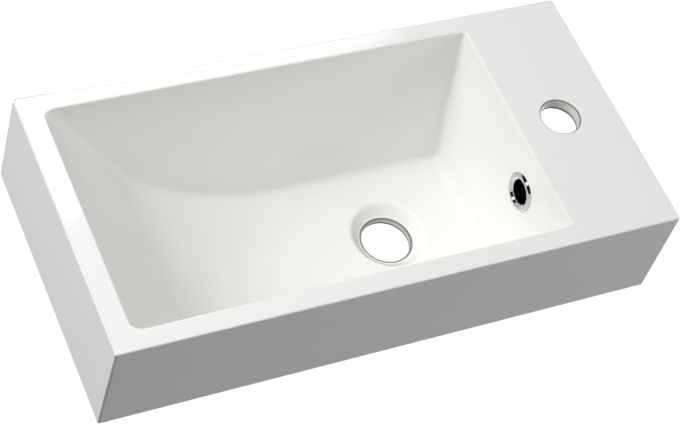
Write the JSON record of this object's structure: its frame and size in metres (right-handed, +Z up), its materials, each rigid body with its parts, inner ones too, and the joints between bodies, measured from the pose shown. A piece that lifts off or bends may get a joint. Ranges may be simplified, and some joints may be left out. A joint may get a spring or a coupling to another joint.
{
  "type": "hand basin",
  "caption": "Small rectangular hand basin: a scoop-shaped bowl slopes down to a dished waste hole, with an overflow ring and a flat tap ledge beside the bowl.",
  "frame": {"origin": "on the rear face that lies on the wall, midway between the axes of the wall bolt holes", "axes": "+X to the right, towards the tap ledge; +Y to the rear, into the wall; +Z up"},
  "size_m": [0.508, 0.2495, 0.1475],
  "materials": {
    "casting": "gloss",
    "ring": "polished",
    "gasket": "matt",
    "elbow": "satin"
  },
  "bodies": {
    "root": {"basin_body": "casting", "overflow_ring": "ring", "overflow_gasket": "gasket", "overflow_elbow": "elbow"}
  },
  "joints": []
}
